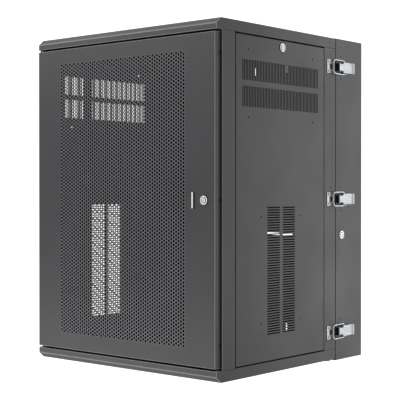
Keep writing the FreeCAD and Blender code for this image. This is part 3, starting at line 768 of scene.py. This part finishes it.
def door_pan():
    back = door_front + pan_deep
    pan = block("door_pan", (door_low.x, door_front, door_low.z),
                (door_high.x, back, door_high.z))
    delete_faces(pan, lambda c, n: n.y > 0.9)
    pan.data.materials.append(door_coat)
    pan.data.materials.append(fold_highlight_coat)
    pick(pan, "EDGE", lambda c, d: c.y < door_front + same_place or abs(d.y) > 0.9)
    # the rounded front edges get the painted fold highlight in slot 1
    bpy.ops.mesh.bevel(offset=1.6 * MM, segments=4, affect="EDGES", material=1)
    done()
    slice_at(pan, 0, field_x0, field_x1)
    slice_at(pan, 2, field_z0, field_z1)
    delete_faces(pan, lambda c, n: n.y < -0.9 and field_x0 < c.x < field_x1 and
                 field_z0 < c.z < field_z1)
    pick(pan, "EDGE", lambda c, d: c.y > back - same_place)
    wide, tall = door_high.x - door_low.x, door_high.z - door_low.z
    bpy.ops.mesh.extrude_edges_move(TRANSFORM_OT_translate={"value": (0, 0, 0)})
    bpy.ops.transform.resize(
        value=((wide - 2 * lip_wide) / wide, 1, (tall - 2 * lip_wide) / tall),
        center_override=(door_low + door_high) / 2)
    bpy.ops.mesh.select_all(action="SELECT")
    bpy.ops.mesh.normals_make_consistent(inside=False)
    done()
    modify(pan, "SOLIDIFY", thickness=sheet, offset=-1.0, use_even_offset=True)
    return pan


door_shell = door_pan()
print("door pan", len(door_shell.data.polygons), "faces")

# %% [markdown]
# ## The door: the bore for its lock
# The lock sits in a round hole that is punched through the sheet. A cylinder
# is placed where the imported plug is, and a boolean takes it away.

# %% The bore for the lock
def middle_of(node):
    a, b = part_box(node)
    return (Vector(a) + Vector(b)) / 2


lock_middle = middle_of("door_lock_plug")
bore = start("cylinder", "lock_bore", vertices=48, radius=lock_bore_r, depth=0.03,
             location=(lock_middle.x, door_front, lock_middle.z),
             rotation=(math.pi / 2, 0, 0))
cut_away(door_shell, bore)
print("door pan", len(door_shell.data.polygons), "faces")

# %% [markdown]
# ## The door: the field of round holes
# Over four thousand holes sit in staggered columns. One hole with its little
# rectangle of sheet is modelled as three bands: the front ring, the wall of
# the hole and the back ring. Array modifiers repeat it up a column and then
# across, and the field is made in two halves so that each stays light.

# %% One hole
hole_sides = 12
rim_point = 0.45        # where the rectangle's long edges meet the ring's spokes
cell_ring = ((1, 0), (1, 1), (rim_point, 1), (0, 1), (-rim_point, 1), (-1, 1),
             (-1, 0), (-1, -1), (-rim_point, -1), (0, -1), (rim_point, -1), (1, -1))


def spread(cell, depth_now):
    """Extrudes the hole's edge at this depth out to the cell's rectangle."""
    pick(cell, "EDGE", lambda c, d: abs(c.y - depth_now) < same_place and
         math.hypot(c.x, c.z) < hole_r)
    bpy.ops.mesh.extrude_edges_move(TRANSFORM_OT_translate={"value": (0, 0, 0)})
    mesh = bmesh.from_edit_mesh(cell.data)
    for v in mesh.verts:
        if v.select:
            angle = math.degrees(math.atan2(v.co.z, v.co.x))
            a, b = cell_ring[round(angle / (360 / hole_sides)) % hole_sides]
            v.co = (a * step_x / 2, depth_now, b * step_z / 2)
    bmesh.update_edit_mesh(cell.data)
    done()


def hole_cell():
    """One round hole in its rectangle of sheet, centred on the origin."""
    cell = start("circle", "hole_cell", vertices=hole_sides, radius=hole_r,
                 rotation=(math.pi / 2, 0, 0))
    spread(cell, 0.0)
    pick(cell, "EDGE", lambda c, d: abs(c.y) < same_place and math.hypot(c.x, c.z) < hole_r)
    bpy.ops.mesh.extrude_edges_move(TRANSFORM_OT_translate={"value": (0, sheet, 0)})
    done()
    spread(cell, sheet)
    face_outwards(cell, lambda c: c.y < same_place, lambda n: n.y < 0)
    # painted highlight on the webs, painted shade on the hole's wall
    cell.data.materials.append(web_highlight_coat)
    cell.data.materials.append(inside_shade_coat)
    finish_faces(cell, 1, lambda c, n: abs(n.y) < 0.5)
    return cell


print("one hole every", step_x / MM, "by", step_z / MM, "mm")

# %% [markdown]
# The holes are staggered: every second column starts half a step higher. So
# two columns are made side by side, and a small block fills the half step
# that is left at one end of each. The pair is then repeated across.

# %% The field of holes
def half_field(name, x0, pairs):
    z_first = field_z0 + step_z / 2
    whole = []
    for k in (0, 1):
        column = hole_cell()
        repeat(column, rows, (0, 0, step_z), use_merge_vertices=True,
               merge_threshold=0.01 * MM)
        lift = step_z / 2 if k == 0 else 0.0
        move(column, Vector((x0 + (k + 0.5) * step_x, door_front, z_first + lift)))
        end = field_z0 if k == 0 else field_z1 - step_z / 2
        fill = block("end_fill", (x0 + k * step_x, door_front, end),
                     (x0 + (k + 1) * step_x, door_front + sheet, end + step_z / 2))
        delete_faces(fill, lambda c, n: abs(n.y) < 0.5, what="ONLY_FACE")
        fill.data.materials.append(door_coat)
        whole += [column, fill]
    field = join_all(whole, name)
    repeat(field, pairs, (2 * step_x, 0, 0))
    return field


for side, label in ((0, "left"), (1, "right")):
    field = half_field("door_holes_" + label, field_x0 + side * columns / 2 * step_x,
                       columns // 4)
    hand_over(field, "door_skin")
    print(field.name, len(field.data.polygons), "faces")
hand_over(door_shell, "door_skin")

# %% [markdown]
# ## Locks
# Each lock is a nickel plated face with a raised rim, a turning plug in the
# middle and a narrow keyway. The face is a cylinder whose front is stepped
# with inset and extrude; the plug is a second piece, because it turns.

# %% Turned discs
level = 0.001 * MM      # two faces closer than this lie at one height
on_axis = 0.1 * MM      # a face whose middle is this near is centred


def stepped_disc(name, radius, depth, steps, sides=64):
    """A disc along +Z with its top at z 0, stepped by (inset, rise) pairs."""
    disc = start("cylinder", name, vertices=sides, radius=radius, depth=depth,
                 location=(0, 0, -depth / 2))
    height = 0.0
    for inset, rise in steps:
        pick(disc, "FACE", lambda c, n: n.z > 0.9 and abs(c.z - height) < level and
             math.hypot(c.x, c.y) < on_axis)
        if inset:
            bpy.ops.mesh.inset(thickness=inset)
        if rise:
            bpy.ops.mesh.extrude_region_move(TRANSFORM_OT_translate={"value": (0, 0, rise)})
            height += rise
        done()
    return disc


print("discs can be turned")

# %% [markdown]
# The face has a raised rim, a step down and a recess, and the plug has a
# small chamfer. The keyway is a thin box taken away with a boolean. Its walls
# and the recess get a painted shade that is nearly black, because almost no
# light comes back out of them.

# %% Face and plug
face_r, washer_r, plug_r = 11.0 * MM, 12.4 * MM, 5.9 * MM
shaded_r = 7.4 * MM     # the recess round the plug sees little light
key_wide, key_long = 1.8 * MM, 7.4 * MM
recess = ((1.4 * MM, 0), (0.2 * MM, -0.5 * MM), (1.6 * MM, 0), (0.2 * MM, -0.4 * MM),
          (1.5 * MM, -0.9 * MM))


def lock_face():
    """Ring with a raised rim and a recess, around the opening for the plug."""
    ring = stepped_disc("lock_face", face_r, 2.0 * MM, recess)
    delete_faces(ring, lambda c, n: abs(n.z) > 0.9 and math.hypot(c.x, c.y) < on_axis)
    ring.data.materials.append(nickel)
    ring.data.materials.append(keyway_shade)
    # painted shade on the recess round the plug
    finish_faces(ring, 1, lambda c, n: math.hypot(c.x, c.y) < shaded_r)
    modify(ring, "BEVEL", width=0.2 * MM, segments=2, limit_method="ANGLE",
           angle_limit=math.radians(50))
    return ring


def plug_face(key_turn):
    """The turning plug, with its keyway turned by this many degrees."""
    plug = stepped_disc("plug_face", plug_r, 6.0 * MM, ((0.5 * MM, 0.25 * MM),))
    plug.data.materials.append(nickel)
    plug.data.materials.append(keyway_shade)
    tool = block("keyway", (-key_wide / 2, -key_long / 2, -3.0 * MM),
                 (key_wide / 2, key_long / 2, 2.0 * MM))
    tool.data.transform(Matrix.Rotation(math.radians(key_turn), 4, "Z"))
    cut_away(plug, tool)
    # painted shade down the keyway
    finish_faces(plug, 1, lambda c, n: math.hypot(c.x, c.y) < key_long / 2 + 0.2 * MM and
                 -5.0 * MM < c.z < -0.1 * MM)
    return plug


print("lock face", 2 * face_r / MM, "mm across")

# %% [markdown]
# Behind the sheet the imported barrel, nut and cam are right as they are. So
# each packed lock part is copied, sliced at the sheet with bisect, and the
# new face is joined on in front, with a thin rubber washer behind it whose
# dark ring also stands for the shade round the face: painted shade.

# %% A lock in its place
outward = {"front": Matrix.Rotation(math.radians(90), 4, "X"),
           "right": Matrix.Rotation(math.radians(90), 4, "Y"),
           "left": Matrix.Rotation(math.radians(-90), 4, "Y")}
proud = 2.0 * MM        # the lock's face stands this far off the sheet


def behind(node, normal, cut):
    """Copy of a packed lock part, kept only behind the plane through cut."""
    rest = soft_copy(node)
    pick_everything(rest)
    bpy.ops.mesh.bisect(plane_co=cut, plane_no=normal, clear_outer=True)
    done()
    return rest


def lock_set(facing, place, key_turn, housing, plug_node):
    """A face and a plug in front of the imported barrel, nut and tail."""
    turn = outward[facing]
    normal = turn.to_3x3() @ Vector((0, 0, 1))
    stand = Matrix.Translation(place + normal * proud) @ turn
    for piece, node, keep in ((lock_face(), housing, 0.05 * MM),
                              (plug_face(key_turn), plug_node, -3.9 * MM)):
        piece.data.transform(stand)
        whole = [piece, behind(node, normal, place + normal * keep)]
        if node == housing:
            # painted shade: the washer's dark ring stands for the shade round the face
            washer = stepped_disc("washer", washer_r, 0.6 * MM, ((0.3 * MM, 0.15 * MM),))
            washer.data.transform(Matrix.Translation(place + normal * 0.65 * MM) @ turn)
            washer.data.materials.append(rubber)
            whole.append(washer)
        hand_over(join_all(whole, node + "_detailed"), node)


print("washer", 2 * washer_r / MM, "mm across")

# %% [markdown]
# There are four locks: one on the door, one at the top of each side panel,
# and one on the wall section that keeps the body from being swung away. The
# keyways stand as each key would be drawn out.

# %% Four locks
door_lock = middle_of("door_lock_housing")
lock_set("front", Vector((door_lock.x, door_front, door_lock.z)), -40,
         "door_lock_housing", "door_lock_plug")
for label, side in (("right", 1), ("left", -1)):
    spot = middle_of(label + "_lock_housing")
    lock_set(label, Vector((side * half_wide, spot.y, spot.z)), 90,
             label + "_lock_housing", label + "_lock_cylinder")
wall_lock = middle_of("wall_lock_housing")
lock_set("right", Vector((half_wide, wall_lock.y, wall_lock.z)), 0,
         "wall_lock_housing", "wall_lock_plug")
print("four locks")

# %% [markdown]
# ## Draw latches, hinges and rivets
# The latches are pressed from thick zinc plated sheet, so their edges are
# rolled rather than sharp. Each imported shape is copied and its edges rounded.
# Rivet and pin heads get a larger round, which makes them domes. The bails
# are wire already, so they only get their finish and smooth shading.

# %% Latches and hinges
rounding_mm = {"latch_keepers": 0.4, "latch_bases": 0.35, "latch_pads": 0.4,
               "latch_lever_top": 0.45, "latch_lever_middle": 0.45,
               "latch_lever_bottom": 0.45, "wall_hinge_leaves": 0.4,
               "body_hinge_leaves": 0.4, "door_bumpers": 0.9, "body_rivets": 0.8,
               "wall_rivets": 0.8, "latch_pivot_pins": 0.5, "body_hinge_pins": 0.7,
               "rail_bolts": 0.5, "door_bushings": 0.4, "door_lock_cam": 0.3,
               "wall_lock_cam": 0.3, "door_gasket": 0.6, "seam_gasket": 0.3,
               "ground_stud": 0.4, "door_hinge_pins": 0.4}
for node, radius in rounding_mm.items():
    piece = soft_copy(node)
    soften(piece, radius)
    hand_over(piece, node, crease=40)
bails = ("latch_bail_top", "latch_bail_middle", "latch_bail_bottom")
for node in bails:
    bail = soft_copy(node)
    # painted highlight in the wire's brighter plate
    bail.data.materials[0] = wire_with_painted_highlight
    hand_over(bail, node, crease=60)
print("rounded", len(rounding_mm) + len(bails), "small parts")

# %% [markdown]
# ## The blank badge plate
# A narrow plate sits beside the door's lock: a strip of moulded rubber with a
# bright bar let into its left side. The dark rubber at the right also stands
# for the shadow down the plate's right side, as painted shade. Ours is left
# blank. A block gives the plate, bisect divides its front into two, and inset
# gives the bar and the groove beside it their rims.

# %% Badge
bar_share = 0.62        # of the plate's width
badge_low, badge_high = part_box("door_badge")
bar_edge = badge_low[0] + bar_share * (badge_high[0] - badge_low[0])
badge = block("blank_badge", badge_low, badge_high)
# painted shade: the dark rubber's right part stands for the shadow beside the plate
badge.data.materials.append(rubber)
badge.data.materials.append(nickel)
pick(badge, "FACE", lambda c, n: n.y < -0.9)
bpy.ops.mesh.bisect(plane_co=(bar_edge, 0, 0), plane_no=(1, 0, 0))
done()
pick(badge, "FACE", lambda c, n: n.y < -0.9 and c.x < bar_edge)
bpy.ops.mesh.inset(thickness=0.5 * MM)
badge.active_material_index = 1
bpy.ops.object.material_slot_assign()
done()
pick(badge, "FACE", lambda c, n: n.y < -0.9 and c.x > bar_edge)
bpy.ops.mesh.inset(thickness=0.4 * MM)
bpy.ops.mesh.extrude_region_move(TRANSFORM_OT_translate={"value": (0, 0.35 * MM, 0)})
done()
modify(badge, "BEVEL", width=0.2 * MM, segments=2, limit_method="ANGLE")
hand_over(badge, "door_badge")
print("badge", len(badge.data.polygons), "faces")

# %% [markdown]
# ## Brushes at the cable entries
# Each entry is closed by rows of short bristles held in a bar, which let
# cables through and keep dust out. Real bristles are far thinner and far more
# than we could draw, so one tuft is a thin block drawn in at its tip, and an
# Array modifier repeats it along the bar.

# %% One brush
bar_wide = 6.0 * MM
tuft_wide, tuft_step = 1.1 * MM, 1.6 * MM
end_gap = 1.0 * MM


def brush_strip(name, strip_low, strip_high, towards):
    """A bar with bristles that point along +Y or -Y (towards is 1 or -1)."""
    a, b = Vector(strip_low), Vector(strip_high)
    heel, tip = (a.y, b.y) if towards > 0 else (b.y, a.y)
    root = heel + bar_wide * towards
    holder = block(name + "_bar", (a.x, min(root, heel), a.z),
                   (b.x, max(root, heel), b.z))
    modify(holder, "BEVEL", width=0.3 * MM, segments=2)
    tuft_x = a.x + end_gap
    tuft = block(name + "_tuft", (tuft_x, min(root, tip), a.z + 0.2 * MM),
                 (tuft_x + tuft_wide, max(root, tip), b.z - 0.2 * MM))
    pick(tuft, "FACE", lambda c, n: n.y * towards > 0.9)
    bpy.ops.transform.resize(
        value=(0.35, 1, 0.5),
        center_override=(tuft_x + tuft_wide / 2, tip, (a.z + b.z) / 2))
    done()
    repeat(tuft, int((b.x - a.x - 3 * end_gap) / tuft_step), (tuft_step, 0, 0))
    return join_all([holder, tuft], name)


def strips_of(node):
    """The node's separate solids as (low, high) boxes, found by their islands."""
    pick_everything(soft_copy(node))
    bpy.ops.mesh.separate(type="LOOSE")
    done()
    boxes = []
    for part in bpy.context.selected_objects:
        points = [v.co for v in part.data.vertices]
        boxes.append((Vector(min(p[k] for p in points) for k in range(3)),
                      Vector(max(p[k] for p in points) for k in range(3))))
        bpy.data.objects.remove(part, do_unlink=True)
    return boxes


print("a tuft every", tuft_step / MM, "mm")

# %% [markdown]
# Each packed strip is an island of its node's mesh, and its box says where the
# brush goes. The strips of a set face each other, so the bristles point towards
# the middle of the set.

# %% All brushes
for node in ("cable_brushes", "entry_brush"):
    boxes = strips_of(node)
    middle_y = sum((a.y + b.y) / 2 for a, b in boxes) / len(boxes)
    brushes = [brush_strip("brush_%d" % k, a, b, 1 if (a.y + b.y) / 2 < middle_y else -1)
               for k, (a, b) in enumerate(boxes)]
    hand_over(join_all(brushes, node + "_hair"), node)
    print(node, len(boxes), "strips")

# %% [markdown]
# ## The room
# A product is best lit on a sweep: a floor that fades into a white wall. Ours
# is a plane and a world colour, both plain white where the camera looks
# at them. For the light that falls on the cabinet they are dimmer, or the
# black sheet would look grey: a Light Path node tells the two apart. It
# doesn't matter for it where the camera stands.

# %% A white that glows softly
seen_white = 1.35
white = (1, 1, 1, 1)


def soft_white(tree, kind, glow):
    """A shader that is plain white to the camera and glows softly otherwise."""
    path = add(tree, "ShaderNodeLightPath")
    seen = add(tree, kind, Color=white, Strength=seen_white)
    lit = add(tree, kind, Color=white, Strength=glow)
    return add(tree, "ShaderNodeMixShader", Fac=(path, "Is Camera Ray"),
               in_1=(lit, 0), in_2=(seen, 0))


print("white for the floor and the world")

# %% [markdown]
# ## The floor
# The cabinet hangs on a wall, so the floor lies well below it. It glows less
# further away, which leaves the lower part of the sheet a little lighter than
# the middle.

# %% Floor
floor_z = -1.6
floor_near, floor_far = 0.65, 0.35
near_reach, far_reach = 1.5, 9.0
bpy.ops.object.select_all(action="DESELECT")
bpy.ops.mesh.primitive_plane_add(size=60, location=(0, 0, floor_z))
floor = bpy.context.object
floor.name = "studio_floor"
mat, tree = new_material("studio_floor")
place = add(tree, "ShaderNodeTexCoord")
reach = add(tree, "ShaderNodeVectorMath", operation="LENGTH", in_0=(place, "Object"))
fade = add(tree, "ShaderNodeMapRange", Value=(reach, "Value"), From_Min=near_reach,
           From_Max=far_reach, To_Min=floor_near, To_Max=floor_far)
glow = soft_white(tree, "ShaderNodeEmission", (fade, "Result"))
add(tree, "ShaderNodeOutputMaterial", Surface=(glow, 0))
floor.data.materials.append(mat)
print("floor", floor_z, "m below the cabinet's middle")

# %% [markdown]
# ## Lamps
# Satin black sheet shows what it mirrors more than what shines on it, so the
# lamps are large and soft. Two stand at the left, one low and one high: they
# draw the slow gradient down the door. A tall narrow one stands behind at the
# right and grazes the wall section and the latches.

# %% Lamps
def soft_lamp(name, place, target, size, power):
    lamp = bpy.data.lights.new(name, "AREA")
    lamp.shape = "RECTANGLE"
    lamp.size, lamp.size_y = size
    lamp.energy = power
    obj = bpy.data.objects.new(name, lamp)
    bpy.context.scene.collection.objects.link(obj)
    obj.location = place
    aim = Vector(target) - Vector(place)
    obj.rotation_euler = aim.to_track_quat("-Z", "Y").to_euler()
    return obj


lamps = (soft_lamp("high_left_lamp", (-2.4, -2.9, 1.35), (-0.1, -0.6, 0.2), (2.0, 0.9), 13),
         soft_lamp("left_lamp", (-2.4, -2.9, -1.25), (-0.1, -0.6, -0.2), (2.0, 0.9), 17.5),
         soft_lamp("wall_side_lamp", (1.3, 1.3, 0.1), (0.32, -0.05, 0.0), (0.6, 1.8), 7.5))
print(len(lamps), "lamps")

# %% [markdown]
# ## The world
# The world is darker at the height of the horizon and brighter above and
# below, as when big soft lamps hang over a white floor, and it is darker
# on the right, as where a studio has a black flag. The flat sheets pick up
# both as slow gradients.

# %% World
horizon_glow, upper_glow = 0.42, 1.05
horizon_end, upper_start = 0.02, 0.32
left_share, right_share = 0.92, 0.28
world = bpy.data.worlds.new("studio_world")
bpy.context.scene.world = world
world.use_nodes = True
sky = world.node_tree
sky.nodes.clear()
way = add(sky, "ShaderNodeTexCoord")
parts = add(sky, "ShaderNodeSeparateXYZ", Vector=(way, "Generated"))
height = add(sky, "ShaderNodeMath", operation="ABSOLUTE", in_0=(parts, "Z"))
rise = add(sky, "ShaderNodeMapRange", Value=(height, "Value"), From_Min=horizon_end,
           From_Max=upper_start, To_Min=horizon_glow, To_Max=upper_glow)
across = add(sky, "ShaderNodeMapRange", Value=(parts, "X"), From_Min=-1.0,
             From_Max=1.0, To_Min=left_share, To_Max=right_share)
glow = add(sky, "ShaderNodeMath", operation="MULTIPLY", in_0=(rise, 0), in_1=(across, 0))
air = soft_white(sky, "ShaderNodeBackground", (glow, "Value"))
add(sky, "ShaderNodeOutputWorld", Surface=(air, 0))
print("world from", horizon_glow, "to", upper_glow)

# %% [markdown]
# ## Camera
# A long lens from about three metres keeps the upright edges nearly parallel.
# It stands at half height, a little to the right of the corner, and looks
# very slightly down.

# %% Camera
lens_mm, sensor_mm = 97.445, 36
turned_left, tilted_down = 40.692, 0.525
camera = bpy.data.cameras.new("camera")
camera.lens = lens_mm
camera.sensor_width = sensor_mm
camera.clip_end = 100
view = bpy.data.objects.new("camera", camera)
bpy.context.scene.collection.objects.link(view)
view.location = (1.9555, -2.6000, 0.0243)
view.rotation_euler = (math.radians(90 - tilted_down), 0, math.radians(turned_left))
bpy.context.scene.camera = view
bpy.context.scene.view_settings.view_transform = "Standard"
print("camera ready,", lens_mm, "mm lens")
